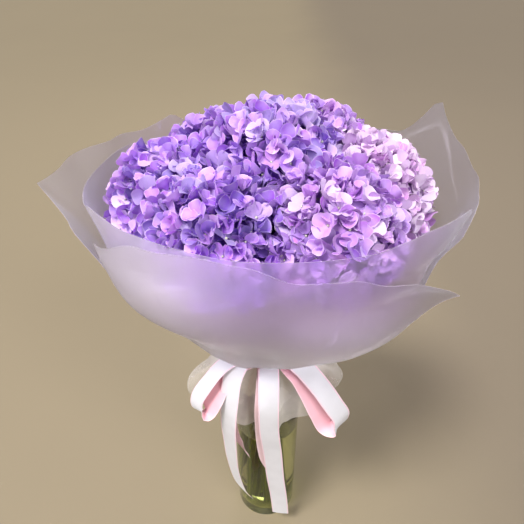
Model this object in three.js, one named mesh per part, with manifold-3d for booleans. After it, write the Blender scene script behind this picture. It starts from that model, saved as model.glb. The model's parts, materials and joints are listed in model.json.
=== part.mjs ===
// A bunch of hydrangeas standing in a glass vase, wrapped in frosted film and tied with ribbon.
//
// Millimetres, +Z up, the front of the bunch towards -Y. The origin is the centre of the vase's foot.
// Seven hydrangea heads sit on seven bare stems. The stems cross in a spiral at the tie, go down
// through the water and stand on the vase's floor. A clear film collar is gathered round the stems,
// four frosted sheets are gathered round the collar, and a pink ribbon and a double-faced bow hold them.

import * as THREE from 'three';
import { mergeVertices } from 'three/addons/utils/BufferGeometryUtils.js';
import Module from 'manifold-3d';

// ---- driving dimensions ----

const VASE = { radius: 45, height: 300, wall: 3, floor: 20, footRound: 5, floorRound: 7, sides: 32 };
const WATER_LEVEL = 207;
const GAP = 0.3; // clearance between pieces that touch on the real object
const STEM = { radius: 3.7, sides: 6, ringRadius: 8.2, footRing: 21, footCentre: [-9, 2], steps: 10 };
const TIE = { height: 369, halfHeight: 6 };
const FILM = { thickness: 0.8, pitch: 1.3, spread: 2.2, neckRadius: 14.4, neckTop: 379, neckBottom: 356 };
const COLLAR = { neckRadius: 13.2, rows: 5, columns: 40, ruffles: 8, ruffleDepth: 6 };
const RIBBON = { width: 25, thickness: 0.9 };
const BAND = { pinkRadius: 19.7, bowRadius: 21.2, thickness: 1.1, sides: 24 };
const KNOT = { size: [13, 8, 8], forward: 29.5 };
const FLORET = { radius: 27, root: 20, sepals: 4, seed: 20 };
const CORE = { across: 56, up: 50, sides: 8 };

// Heads: centre, radius across and up, and the number of florets laid over the whole head.
const HEAD_RING = { centre: [3, 8], halfWidth: 98, halfDepth: 82, height: 572, count: 6, turn: 2 };
const HEADS = [
  { name: 'hydrangea_centre', centre: [4, 14, 607], radius: [70, 68], florets: 15 },
  ...Array.from({ length: HEAD_RING.count }, (_, i) => {
    const angle = THREE.MathUtils.degToRad(HEAD_RING.turn + (360 / HEAD_RING.count) * i);
    return {
      name: 'hydrangea_' + ['right', 'back_right', 'back_left', 'left', 'front_left', 'front_right'][i],
      centre: [
        HEAD_RING.centre[0] + HEAD_RING.halfWidth * Math.cos(angle),
        HEAD_RING.centre[1] + HEAD_RING.halfDepth * Math.sin(angle),
        HEAD_RING.height,
      ],
      radius: [68, 62],
      florets: 18,
    };
  }),
];

// The wrap's form: for each azimuth, the radius and height of six points from above the neck to the rim.
const WRAP = [
  { azimuth: -90, points: [[60, 393], [88, 445], [113, 496], [125, 540], [132, 572], [137, 599]] },
  { azimuth: -45, points: [[69, 396], [113, 433], [137, 478], [140, 531], [149, 562], [154, 596]] },
  { azimuth: 0, points: [[84, 390], [138, 414], [163, 467], [177, 525], [193, 560], [206, 596]] },
  { azimuth: 45, points: [[72, 396], [118, 432], [146, 482], [160, 526], [168, 566], [174, 600]] },
  { azimuth: 90, points: [[58, 404], [100, 446], [130, 492], [144, 530], [150, 562], [154, 590]] },
  { azimuth: 135, points: [[64, 400], [108, 438], [138, 486], [152, 530], [162, 572], [170, 610]] },
  { azimuth: 180, points: [[74, 396], [118, 434], [154, 479], [167, 526], [176, 562], [184, 592]] },
  { azimuth: 225, points: [[70, 396], [97, 445], [129, 492], [141, 529], [142, 562], [145, 593]] },
].map((column) => ({ ...column, points: [[FILM.neckRadius, FILM.neckTop], ...column.points] }));

// ---- geometry helpers ----

const wasm = await Module();
wasm.setup();

const vector = (x, y, z) => new THREE.Vector3(x, y, z);
const radians = THREE.MathUtils.degToRad;

function seededRandom(seed) {
  let state = seed >>> 0;
  return () => {
    state = (state + 0x6d2b79f5) >>> 0;
    let mixed = Math.imul(state ^ (state >>> 15), 1 | state);
    mixed = (mixed + Math.imul(mixed ^ (mixed >>> 7), 61 | mixed)) ^ mixed;
    return ((mixed ^ (mixed >>> 14)) >>> 0) / 4294967296;
  };
}

function toSolid(geometry) {
  const bare = geometry.clone();
  bare.deleteAttribute('normal');
  bare.deleteAttribute('uv');
  const merged = mergeVertices(bare, 1e-4);
  return new wasm.Manifold(
    new wasm.Mesh({
      numProp: 3,
      vertProperties: new Float32Array(merged.attributes.position.array),
      triVerts: new Uint32Array(merged.index.array),
    }),
  );
}

function toGeometry(solid) {
  const mesh = solid.getMesh();
  const position = new Float32Array(mesh.numVert * 3);
  for (let i = 0; i < mesh.numVert; i++) {
    position.set(mesh.vertProperties.subarray(i * mesh.numProp, i * mesh.numProp + 3), i * 3);
  }
  return new THREE.BufferGeometry()
    .setAttribute('position', new THREE.BufferAttribute(position, 3))
    .setIndex(new THREE.BufferAttribute(mesh.triVerts, 1));
}

// A solid from points and triangles; it is turned outside out when its volume comes out negative.
function solidFrom(points, triangles) {
  const geometry = new THREE.BufferGeometry().setFromPoints(points).setIndex(triangles.flat());
  const solid = toSolid(geometry);
  if (solid.volume() > 0) return solid;
  return toSolid(geometry.setIndex(triangles.map(([a, b, c]) => [a, c, b]).flat()));
}

const largestBody = (solid) =>
  solid.decompose().reduce((best, body) => (body.volume() > best.volume() ? body : best));

// A grid of points, rows by columns, given the thickness of a sheet along `normalAt`.
function sheetSolid(rows, columns, pointAt, normalAt, thickness, closed = false) {
  const points = [];
  for (const side of [0, 1]) {
    for (let r = 0; r < rows; r++) {
      for (let c = 0; c < columns; c++) {
        points.push(pointAt(r, c).addScaledVector(normalAt(r, c), side * thickness));
      }
    }
  }
  const id = (side, r, c) => (side * rows + r) * columns + (c % columns);
  const triangles = [];
  const quad = (a, b, c, d) => triangles.push([a, b, c], [a, c, d]);
  const lastColumn = closed ? columns : columns - 1;
  for (let r = 0; r + 1 < rows; r++) {
    for (let c = 0; c < lastColumn; c++) {
      quad(id(0, r, c), id(0, r + 1, c), id(0, r + 1, c + 1), id(0, r, c + 1));
      quad(id(1, r, c), id(1, r, c + 1), id(1, r + 1, c + 1), id(1, r + 1, c));
    }
  }
  for (let c = 0; c < lastColumn; c++) {
    quad(id(0, 0, c), id(0, 0, c + 1), id(1, 0, c + 1), id(1, 0, c));
    quad(id(0, rows - 1, c), id(1, rows - 1, c), id(1, rows - 1, c + 1), id(0, rows - 1, c + 1));
  }
  for (let r = 0; r + 1 < rows && !closed; r++) {
    const last = columns - 1;
    quad(id(0, r, 0), id(1, r, 0), id(1, r + 1, 0), id(0, r + 1, 0));
    quad(id(0, r, last), id(0, r + 1, last), id(1, r + 1, last), id(1, r, last));
  }
  return solidFrom(points, triangles);
}

// A value between listed [position, value] pairs, eased so that it has no corners but at the pairs
// that end in 1, which are sharp.
function between(pairs, position) {
  if (position <= pairs[0][0]) return pairs[0][1];
  for (let i = 1; i < pairs.length; i++) {
    const [start, from, startSharp] = pairs[i - 1];
    const [end, to, endSharp] = pairs[i];
    if (position <= end) {
      const share = (position - start) / (end - start);
      let eased = share * share * (3 - 2 * share);
      if (startSharp) eased = endSharp ? share : 1 - (1 - share) ** 2;
      else if (endSharp) eased = share ** 2;
      return from + (to - from) * eased;
    }
  }
  return pairs[pairs.length - 1][1];
}

function catmull(a, b, c, d, share) {
  const square = (2 * a - 5 * b + 4 * c - d) * share ** 2;
  const cube = (3 * b - a - 3 * c + d) * share ** 3;
  return (2 * b + (c - a) * share + square + cube) / 2;
}

// ---- the vase and its water ----

function vaseGeometry() {
  const { radius, height, wall, floor, footRound, floorRound, sides } = VASE;
  const inner = radius - wall;
  const profile = [new THREE.Vector2(0, 0), new THREE.Vector2(radius - footRound, 0)];
  for (const turn of [30, 60, 90]) {
    profile.push(
      new THREE.Vector2(
        radius - footRound + footRound * Math.sin(radians(turn)),
        footRound - footRound * Math.cos(radians(turn)),
      ),
    );
  }
  profile.push(
    new THREE.Vector2(radius, height - wall / 2),
    new THREE.Vector2(radius - wall / 2, height),
    new THREE.Vector2(inner, height - wall / 2),
  );
  for (const turn of [90, 60, 30, 0]) {
    profile.push(
      new THREE.Vector2(
        inner - floorRound + floorRound * Math.sin(radians(turn)),
        floor + floorRound - floorRound * Math.cos(radians(turn)),
      ),
    );
  }
  profile.push(new THREE.Vector2(0, floor));
  return new THREE.LatheGeometry(profile, sides).rotateX(Math.PI / 2);
}

function waterSolid(stems) {
  const { radius, wall, floor, floorRound, sides } = VASE;
  const outer = radius - wall - GAP;
  const low = floor + GAP;
  const profile = [
    new THREE.Vector2(0, low),
    new THREE.Vector2(outer - floorRound, low),
    new THREE.Vector2(outer - 0.3 * floorRound, low + 0.3 * floorRound),
    new THREE.Vector2(outer, low + floorRound),
    new THREE.Vector2(outer, WATER_LEVEL),
    new THREE.Vector2(0, WATER_LEVEL),
  ];
  const water = toSolid(new THREE.LatheGeometry(profile, sides).rotateX(Math.PI / 2));
  const holes = stems.map((stem) => stemSolid(stem, STEM.radius + GAP, VASE.floor - 5));
  return holes.reduce((rest, hole) => rest.subtract(hole), water);
}

// ---- the stems ----

// Every ring stem passes the tie on a small circle and slants the same way, so the bunch is a spiral.
function stemRoute(head, index) {
  const [x, y, z] = head.centre;
  const [footX, footY] = STEM.footCentre;
  if (index === 0) {
    const neck = [TIE.height - 30, TIE.height + 25].map((height) => [0, 0, height]);
    return [[footX, footY, VASE.floor], ...neck, [x / 2, y / 2, 480], [x, y, z - 34]];
  }
  const tieAngle = Math.atan2(y, x);
  const onCircle = (radius, degrees, height) => [
    radius * Math.cos(tieAngle + radians(degrees)),
    radius * Math.sin(tieAngle + radians(degrees)),
    height,
  ];
  const foot = onCircle(STEM.footRing, 62, VASE.floor);
  const low = onCircle(STEM.ringRadius, 4, TIE.height - 22);
  return [
    [foot[0] + footX, foot[1] + footY, foot[2]],
    low,
    onCircle(STEM.ringRadius, -3, TIE.height + 20),
    onCircle(24, -8, 436),
    [x * 0.64, y * 0.64, 494],
    [x * 0.88, y * 0.88, 538],
  ];
}

function stemSolid(stem, radius, cutHeight) {
  const points = stem.map(([x, y, z]) => vector(x, y, z));
  const down = points[0].clone().sub(points[1]).normalize();
  points[0].addScaledVector(down, 12);
  const section = new THREE.Shape();
  for (let i = 0; i < STEM.sides; i++) {
    const angle = (2 * Math.PI * i) / STEM.sides;
    section[i ? 'lineTo' : 'moveTo'](radius * Math.cos(angle), radius * Math.sin(angle));
  }
  const path = new THREE.CatmullRomCurve3(points, false, 'centripetal');
  const settings = { steps: STEM.steps, extrudePath: path, bevelEnabled: false };
  return toSolid(new THREE.ExtrudeGeometry(section, settings)).trimByPlane([0, 0, 1], cutHeight);
}

// ---- the wrap ----

// Radius and height of the wrap at an azimuth in degrees and a share of the way from neck to rim.
function wrapProfile(azimuth, share) {
  const turn = ((azimuth % 360) + 360) % 360;
  const step = 360 / WRAP.length;
  const place = (((turn + 90) % 360) / step + WRAP.length) % WRAP.length;
  const at = Math.floor(place);
  const along = Math.min(Math.max(share, 0), 1.3) * 6;
  const row = Math.min(Math.floor(along), 5);
  const value = (column, axis) => {
    const { points } = WRAP[(column + WRAP.length) % WRAP.length];
    const get = (k) => {
      if (k < 0) return 2 * points[0][axis] - points[1][axis];
      if (k > 6) return 2 * points[6][axis] - points[5][axis];
      return points[k][axis];
    };
    return catmull(get(row - 1), get(row), get(row + 1), get(row + 2), along - row);
  };
  return [0, 1].map((axis) =>
    catmull(value(at - 1, axis), value(at, axis), value(at + 1, axis), value(at + 2, axis), place - at),
  );
}

const polar = (radius, azimuth, height) =>
  vector(radius * Math.cos(radians(azimuth)), radius * Math.sin(radians(azimuth)), height);

function wrapPoint(azimuth, share) {
  const [radius, height] = wrapProfile(azimuth, share);
  return polar(radius, azimuth, height);
}

function wrapNormal(azimuth, share) {
  const low = Math.max(share - 0.02, 0);
  const up = wrapPoint(azimuth, low + 0.04).sub(wrapPoint(azimuth, low));
  const round = wrapPoint(azimuth + 2, share).sub(wrapPoint(azimuth - 2, share));
  return round.cross(up).normalize();
}

// A frosted sheet: its azimuths, its rim as a share of the wrap's height, and how far it stands out
// from the wrap at its rim. The sheets lie over one another in the order of their layers.
const SHEETS = [
  {
    name: 'film_front_inner',
    layer: 0,
    from: 126,
    to: 356,
    rim: [
      [126, 0.86], [160, 0.96], [186, 0.98], [200, 1.045], [216, 1.01], [240, 1.02], [262, 1.01], [306, 0.99],
      [316, 1.01], [326, 1.035], [338, 1.055, 1], [356, 0.86, 1],
    ],
    standOff: [[126, 0], [356, 0]],
  },
  {
    name: 'film_back_right',
    layer: 1,
    from: -14,
    to: 98,
    rim: [[-14, 0.84], [-4, 0.95], [4, 1.0], [14, 1.06], [27, 1.19, 1], [38, 0.98], [50, 0.96], [98, 0.94]],
    standOff: [[-14, 4], [0, 2], [12, -2], [22, 3], [98, 0]],
  },
  {
    name: 'film_back_left',
    layer: 2,
    from: 84,
    to: 196,
    rim: [
      [84, 0.94], [120, 0.95], [131, 1.01, 1], [144, 0.98], [156, 1.02], [166, 1.04], [180, 1.01, 1],
      [188, 0.83], [196, 0.66],
    ],
    standOff: [[84, 2], [128, -6], [158, -4], [172, 19], [180, 38, 1], [188, 18], [196, 4]],
  },
  {
    name: 'film_front_outer',
    layer: 3,
    from: 198,
    to: 334,
    rim: [
      [198, 0.84], [222, 0.99], [250, 1.04], [262, 1.03], [280, 0.915], [296, 0.915], [310, 0.86],
      [334, 0.66, 1],
    ],
    standOff: [[198, 0], [212, -2], [240, -4], [281, 0], [300, 2], [318, 10], [334, 33, 1]],
  },
];
const SHEET_ROWS = 8;
const SHEET_COLUMN_STEP = 9; // degrees, the same columns for every sheet so that they nest

function filmSheet({ layer, from, to, rim, standOff }) {
  const inner = Math.ceil(from / SHEET_COLUMN_STEP + 0.3);
  const count = Math.floor(to / SHEET_COLUMN_STEP - 0.3) - inner + 1;
  const azimuths = [from, ...Array.from({ length: count }, (_, i) => (inner + i) * SHEET_COLUMN_STEP), to];
  const shareAt = (r, c) => {
    const along = (r - 1) / SHEET_ROWS;
    const reach = between(rim, azimuths[c]);
    return along < 0.5 ? along : 0.5 + (reach - 0.5) * (2 * along - 1);
  };
  const pointAt = (r, c) => {
    const azimuth = azimuths[c];
    const neckHeight = r ? FILM.neckTop : FILM.neckBottom;
    if (r < 2) return polar(FILM.neckRadius + layer * FILM.pitch, azimuth, neckHeight);
    const along = (r - 1) / SHEET_ROWS;
    const offset = layer * (FILM.pitch + FILM.spread * Math.min(1, 2 * along));
    const out = between(standOff, azimuth) * Math.max(0, (along - 0.3) / 0.7) ** 2;
    const share = shareAt(r, c);
    return wrapPoint(azimuth, share)
      .addScaledVector(wrapNormal(azimuth, share), offset)
      .addScaledVector(polar(1, azimuth, 0), out);
  };
  const normalAt = (r, c) => (r < 2 ? polar(1, azimuths[c], 0) : wrapNormal(azimuths[c], shareAt(r, c)));
  return sheetSolid(SHEET_ROWS + 2, azimuths.length, pointAt, normalAt, FILM.thickness);
}

// ---- the clear collar under the tie ----

// Its reach and the height of its hem by azimuth: two lobes stand out at the sides.
const COLLAR_REACH = [
  [0, 88], [30, 58], [90, 60], [150, 62], [176, 84], [196, 106],
  [216, 74], [240, 58], [300, 58], [326, 72], [346, 106], [360, 88],
];
const COLLAR_HEM = [
  [0, 316], [30, 290], [90, 276], [150, 286], [176, 306], [196, 300],
  [216, 276], [240, 262], [300, 262], [326, 290], [346, 322], [360, 316],
];

function collarSolid() {
  const { neckRadius, rows, columns, ruffles, ruffleDepth } = COLLAR;
  const pointAt = (r, c) => {
    const azimuth = (360 * c) / columns;
    if (r < 2) return polar(neckRadius, azimuth, r ? FILM.neckBottom : FILM.neckTop - 2);
    const share = (r - 1) / (rows - 1);
    const reach = between(COLLAR_REACH, azimuth) - neckRadius;
    const ruffle = ruffleDepth * share * Math.sin(radians(ruffles * azimuth + 40));
    const radius = neckRadius + reach * Math.sin(share * Math.PI / 2) ** 0.9 + ruffle;
    const height = FILM.neckBottom - (FILM.neckBottom - between(COLLAR_HEM, azimuth)) * share ** 1.7;
    return polar(radius, azimuth, height);
  };
  const normalAt = (r, c) => {
    const azimuth = (360 * c) / columns;
    return r < 2 ? polar(1, azimuth, 0) : polar(0.8, azimuth, 0.6);
  };
  return sheetSolid(rows + 1, columns, pointAt, normalAt, FILM.thickness, true);
}

// ---- the ribbons ----

// A flat strip along a smooth line. Each station is [x, y, z, turn, tilt]: turn is the angle in degrees
// of the strip's width from +X towards -Y, and tilt is its angle out of the level. The width is a
// function of the share of the way along.
function ribbonStrip(stations, steps, width) {
  const { thickness } = RIBBON;
  const centres = stations.map(([x, y, z]) => vector(x, y, z));
  const line = new THREE.CatmullRomCurve3(centres, false, 'centripetal');
  const last = stations.length - 1;
  const valueAt = (u, k) => {
    const along = u * last;
    const i = Math.min(Math.floor(along), last - 1);
    const [from, to] = [stations[i][k] ?? 0, stations[i + 1][k] ?? 0];
    return from + (to - from) * (along - i);
  };
  const frames = Array.from({ length: steps + 1 }, (_, i) => {
    const u = i / steps;
    const turn = radians(valueAt(u, 3));
    const tilt = radians(valueAt(u, 4));
    const across = vector(Math.cos(turn), -Math.sin(turn), 0).multiplyScalar(Math.cos(tilt));
    across.z = Math.sin(tilt);
    const along = line.getTangent(u);
    across.addScaledVector(along, -across.dot(along)).normalize();
    return { centre: line.getPoint(u), across, normal: across.clone().cross(along).normalize() };
  });
  return sheetSolid(
    steps + 1,
    2,
    (r, c) =>
      frames[r].centre
        .clone()
        .addScaledVector(frames[r].across, ((c ? 1 : -1) * width(r / steps)) / 2)
        .addScaledVector(frames[r].normal, -thickness / 2),
    (r) => frames[r].normal.clone(),
    thickness,
  );
}

// A band round the tie, as wide as the tie and, below it, `extra` more.
function ringBand(innerRadius, extra) {
  const { thickness, sides } = BAND;
  const [low, high] = [TIE.height - TIE.halfHeight - extra, TIE.height + TIE.halfHeight];
  const profile = [
    [innerRadius, low],
    [innerRadius + thickness, low],
    [innerRadius + thickness, high],
    [innerRadius, high],
    [innerRadius, low],
  ].map(([x, y]) => new THREE.Vector2(x, y));
  return toSolid(new THREE.LatheGeometry(profile, sides).rotateX(Math.PI / 2));
}

function pinkRibbonSolid() {
  const band = ringBand(BAND.pinkRadius, 5);
  const narrowRoot = (width) => (u) => (u < 0.05 ? 8 : width);
  const left = ribbonStrip(
    [
      [-7.6, -18.8, 359, 22],
      [-24, -42, 341, 30],
      [-43, -56, 318, 38],
      [-46, -58, 276, 40],
      [-40, -57, 236, 32],
      [-24, -59, 198, 70],
    ],
    14,
    (u) => (u > 0.94 ? 8 : u > 0.85 ? 14 : narrowRoot(21)(u)),
  );
  const centre = ribbonStrip(
    [
      [0, -20.2, 359, 0],
      [-1, -36, 355.5, 0],
      [-2, -53, 346, 0],
      [-4, -65, 322, -4],
      [-4, -66, 284, -3],
      [-2, -61.5, 230, 0],
      [5, -57, 160, 6],
    ],
    14,
    (u) => (u > 0.94 ? 12 : narrowRoot(24)(u)),
  );
  return band.add(left).add(centre);
}

function bowSolid() {
  const band = ringBand(BAND.bowRadius, 0);
  const ball = new THREE.SphereGeometry(1, 10, 6).rotateX(Math.PI / 2).scale(...KNOT.size);
  const knot = toSolid(ball.translate(0, -KNOT.forward, TIE.height));
  const narrowEnds = (u) => (u < 0.05 || u > 0.95 ? 12 : RIBBON.width);
  const narrowRoot = (u) => (u < 0.05 ? 12 : RIBBON.width);
  const rightLoop = ribbonStrip(
    [
      [6, -31, 370, -60, 0],
      [34, -47, 373, -30, 8],
      [60, -59, 353, -30, 30],
      [80, -66, 322, -34, 32],
      [92, -67, 297, -36, 27],
      [88, -67, 279, -36, 22],
      [76, -65, 278, -36, 22],
      [62, -62, 306, -36, 22],
      [45, -55, 340, -32, 14],
      [6, -31, 365, -40, 0],
    ],
    22,
    narrowEnds,
  );
  const leftLoop = ribbonStrip(
    [
      [-6, -31, 370, 70, 0],
      [-30, -38, 374, 66, 6],
      [-54, -46, 371, 60, 12],
      [-72, -54, 350, 56, 14],
      [-86, -60, 326, 50, 14],
      [-86, -64, 313, 42, 14],
      [-77, -66, 309, 34, 14],
      [-65, -62, 328, 28, 14],
      [-55, -53, 349, 25, 12],
      [-30, -40, 368, 60, 4],
      [-6, -31, 366, 65, 0],
    ],
    20,
    narrowEnds,
  );
  const leftTail = ribbonStrip(
    [
      [-5, -32, 366, 50],
      [-28, -44, 366, 34],
      [-41, -55, 359, 28],
      [-47, -68, 330, 30],
      [-49, -70, 290, 38],
      [-49, -66, 237, 44],
      [-47, -61, 177, 48],
      [-37, -60, 118, 47],
      [-27, -60, 99, 46],
    ],
    16,
    narrowRoot,
  );
  const centreTail = ribbonStrip(
    [
      [1, -33, 366, 0],
      [1, -58, 359, 0],
      [1, -72, 330, -2],
      [2, -73, 280, -2],
      [7, -68, 220, 2],
      [12, -63, 150, 6],
      [18, -59, 88, 8],
      [22, -56, 33, 8],
    ],
    16,
    narrowRoot,
  );
  const strips = [rightLoop, leftLoop, leftTail, centreTail];
  return strips.reduce((whole, strip) => whole.add(strip), band.add(knot));
}

// ---- the hydrangea heads ----

// One floret, facing +Z: four broad cupped sepals round a low centre, over a stalk that tapers to its root.
function floretPoints(random) {
  const { radius, root, sepals } = FLORET;
  const points = [vector(0, 0, -2)];
  const rim = [];
  const middles = [];
  const cup = radius * (0.06 + 0.3 * random());
  for (let i = 0; i < sepals; i++) {
    const middle = (360 / sepals) * i + 12 * (random() - 0.5);
    const reach = radius * (0.9 + 0.2 * random());
    const lift = cup + 0.16 * radius * (random() - 0.5);
    const notch = (360 / sepals) * (i - 0.5);
    rim.push(points.push(polar(0.42 * radius, notch, 0.4)) - 1);
    rim.push(points.push(polar(reach, middle - 25, lift)) - 1);
    rim.push(points.push(polar(reach, middle + 25, lift)) - 1);
    middles.push(points.push(polar(0.6 * reach, middle, 0.3 * lift + 1)) - 1);
  }
  const tip = points.push(vector(0, 0, -root)) - 1;
  return { points, rim, middles, tip };
}

function floretSolid(random, place, outward) {
  const { points, rim, middles, tip } = floretPoints(random);
  const triangles = [];
  for (let i = 0; i < FLORET.sepals; i++) {
    const edge = [0, ...rim.slice(3 * i, 3 * i + 3), rim[(3 * i + 3) % rim.length]];
    edge.forEach((point, k) => triangles.push([middles[i], point, edge[(k + 1) % edge.length]]));
    for (const k of [1, 2, 3]) triangles.push([tip, edge[k + 1], edge[k]]);
  }
  const spin = new THREE.Quaternion().setFromAxisAngle(vector(0, 0, 1), 2 * Math.PI * random());
  const face = new THREE.Quaternion().setFromUnitVectors(vector(0, 0, 1), outward);
  const turn = face.multiply(spin);
  return solidFrom(
    points.map((p) => p.applyQuaternion(turn).add(place)),
    triangles,
  );
}

// The space inside the wrap, which the heads fill and don't cross.
function insideWrap() {
  const columns = 36;
  const rows = 9;
  const points = [];
  for (let r = 0; r < rows; r++) {
    for (let c = 0; c < columns; c++) {
      const azimuth = (360 * c) / columns;
      const share = r < rows - 1 ? 0.2 + (0.8 * r) / (rows - 2) : 1;
      const point = wrapPoint(azimuth, share).addScaledVector(wrapNormal(azimuth, share), -1.2);
      points.push(r < rows - 1 ? point : vector(point.x, point.y, 720));
    }
  }
  const bottom = points.push(vector(0, 0, 400)) - 1;
  const top = points.push(vector(0, 0, 720)) - 1;
  const triangles = [];
  for (let c = 0; c < columns; c++) {
    const next = (c + 1) % columns;
    for (let r = 0; r + 1 < rows; r++) {
      const [a, b] = [r * columns + c, r * columns + next];
      triangles.push([a, b, b + columns], [a, b + columns, a + columns]);
    }
    triangles.push([bottom, next, c], [top, (rows - 1) * columns + c, (rows - 1) * columns + next]);
  }
  return solidFrom(points, triangles);
}

// The dense middle that a head's florets stand out of, drawn in to the stem below.
function headCore([x, y, z]) {
  const { across, up, sides } = CORE;
  const profile = [[0, -1.15], [0.3, -0.95], [0.78, -0.45], [1, 0.1], [0.78, 0.68], [0, 1]];
  const core = new THREE.LatheGeometry(
    profile.map(([r, h]) => new THREE.Vector2(r * across, h * up)),
    sides,
  );
  return toSolid(core.rotateX(Math.PI / 2).translate(x, y, z));
}

function headSolid(head, index, inside, stems) {
  const random = seededRandom(FLORET.seed + 31 * index);
  const centre = vector(...head.centre);
  const [across, up] = head.radius;
  const others = HEADS.filter((other) => other !== head).map((other) => vector(...other.centre));
  const sink = FLORET.radius * 0.25; // the sepals' tips, not their middles, reach the head's outline
  let solid = headCore(head.centre);
  for (let i = 0; i < head.florets; i++) {
    const level = 1 - (1.5 * (i + 0.5)) / head.florets;
    const turn = i * 2.39996 + 0.5 * index;
    const flat = Math.sqrt(1 - level * level);
    const outward = vector(flat * Math.cos(turn), flat * Math.sin(turn), level);
    const depth = sink + 5 * (i % 2) + 2 * random();
    const reach = vector(across - depth, across - depth, up - depth);
    const place = outward.clone().multiply(reach).add(centre);
    const lean = vector(random() - 0.5, random() - 0.5, random() - 0.5).multiplyScalar(0.45);
    // a floret that would lie across a neighbouring head isn't there
    if (others.some((other) => place.distanceTo(other) < place.distanceTo(centre) - 7)) continue;
    solid = solid.add(floretSolid(random, place, outward.add(lean).normalize()));
  }
  for (const other of others) {
    const apart = centre.clone().sub(other).normalize();
    const middle = centre.clone().add(other).multiplyScalar(0.5);
    solid = solid.trimByPlane(apart.toArray(), apart.dot(middle) + GAP);
  }
  solid = solid.intersect(inside);
  for (const stem of stems) solid = solid.subtract(stemSolid(stem, STEM.radius + GAP, VASE.floor));
  return largestBody(solid);
}

// ---- the whole bunch ----

const COLOURS = {
  glass: { color: 0xe4ece6, roughness: 0.03, transparent: true, opacity: 0.35 },
  water: { color: 0xdfe6d6, roughness: 0.02, transparent: true, opacity: 0.5 },
  stem: { color: 0x6f8a33, roughness: 0.6 },
  frosted: { color: 0xd3cbcd, roughness: 0.5, transparent: true, opacity: 0.7 },
  clear: { color: 0xdcd8d0, roughness: 0.12, transparent: true, opacity: 0.35 },
  bow: { color: 0xf4edf3, roughness: 0.35 },
  pink: { color: 0xf0c8cc, roughness: 0.4 },
};
const HEAD_COLOURS = [0x9b7be0, 0xdcb8ec, 0xc09be8, 0xb39ae6, 0xa182df, 0xa17fdc, 0xcaa2ea];

const bunch = new THREE.Group();

function addPiece(name, geometry, look) {
  const piece = new THREE.Mesh(geometry, new THREE.MeshStandardMaterial({ metalness: 0, ...look }));
  piece.name = name;
  bunch.add(piece);
}

const stems = HEADS.map(stemRoute);
const inside = insideWrap();

addPiece('vase', vaseGeometry(), COLOURS.glass);
addPiece('water', toGeometry(waterSolid(stems)), COLOURS.water);
stems.forEach((stem, i) => {
  addPiece(`stem_${i + 1}`, toGeometry(stemSolid(stem, STEM.radius, VASE.floor + GAP)), COLOURS.stem);
});
HEADS.forEach((head, i) => {
  const look = { color: HEAD_COLOURS[i], roughness: 0.6 };
  addPiece(head.name, toGeometry(headSolid(head, i, inside, stems)), look);
});
addPiece('clear_collar', toGeometry(collarSolid()), COLOURS.clear);
SHEETS.forEach((sheet) => addPiece(sheet.name, toGeometry(filmSheet(sheet)), COLOURS.frosted));
addPiece('ribbon_pink', toGeometry(pinkRibbonSolid()), COLOURS.pink);
addPiece('ribbon_bow', toGeometry(bowSolid()), COLOURS.bow);

export default bunch;
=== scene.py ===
# Hydrangeas in a glass vase, wrapped in frosted film and tied with ribbon.
# Metres, +Z up, the front towards -Y, the origin at the middle of the vase's foot.
import json
import math
import random

import bmesh
import bpy
import numpy as np
from mathutils import Matrix, Quaternion, Vector

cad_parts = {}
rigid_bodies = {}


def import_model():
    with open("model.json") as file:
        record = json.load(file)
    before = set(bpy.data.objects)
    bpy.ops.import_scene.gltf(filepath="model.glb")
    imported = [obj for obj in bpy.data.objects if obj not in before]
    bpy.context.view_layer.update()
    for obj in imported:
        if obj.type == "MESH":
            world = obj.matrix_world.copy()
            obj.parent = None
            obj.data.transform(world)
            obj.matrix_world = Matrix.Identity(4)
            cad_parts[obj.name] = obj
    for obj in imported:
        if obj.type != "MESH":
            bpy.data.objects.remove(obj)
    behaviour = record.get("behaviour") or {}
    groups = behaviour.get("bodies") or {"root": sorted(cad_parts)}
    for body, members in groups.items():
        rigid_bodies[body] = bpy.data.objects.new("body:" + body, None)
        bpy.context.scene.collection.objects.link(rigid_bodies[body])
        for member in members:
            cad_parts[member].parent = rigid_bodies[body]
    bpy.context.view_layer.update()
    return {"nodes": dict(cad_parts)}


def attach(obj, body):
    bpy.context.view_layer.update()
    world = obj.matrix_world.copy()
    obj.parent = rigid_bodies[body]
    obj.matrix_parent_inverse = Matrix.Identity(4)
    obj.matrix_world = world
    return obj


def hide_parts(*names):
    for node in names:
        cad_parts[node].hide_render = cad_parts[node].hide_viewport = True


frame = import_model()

scene = bpy.context.scene
mm = 0.001
tau = 2 * math.pi


def deselectAll():
    if bpy.context.object and bpy.context.object.mode != "OBJECT":
        bpy.ops.object.mode_set(mode="OBJECT")
    bpy.ops.object.select_all(action="DESELECT")


def pick(piece):
    deselectAll()
    piece.select_set(True)
    bpy.context.view_layer.objects.active = piece


def named(name):
    piece = bpy.context.object
    piece.name = name
    piece.data.name = name
    return piece


def selectVerts(piece, test):
    # in edit mode, selects the vertices that pass the test
    mesh = bmesh.from_edit_mesh(piece.data)
    bpy.ops.mesh.select_mode(type="VERT")
    for vert in mesh.verts:
        vert.select_set(bool(test(vert.co)))
    mesh.select_flush_mode()
    bmesh.update_edit_mesh(piece.data)


def applyPlace(piece):
    pick(piece)
    bpy.ops.object.transform_apply(location=True, rotation=True, scale=True)


def applyModifier(piece, kind, **settings):
    pick(piece)
    modifier = piece.modifiers.new(kind.title(), kind)
    for key, value in settings.items():
        setattr(modifier, key, value)
    bpy.ops.object.modifier_apply(modifier=modifier.name)


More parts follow.
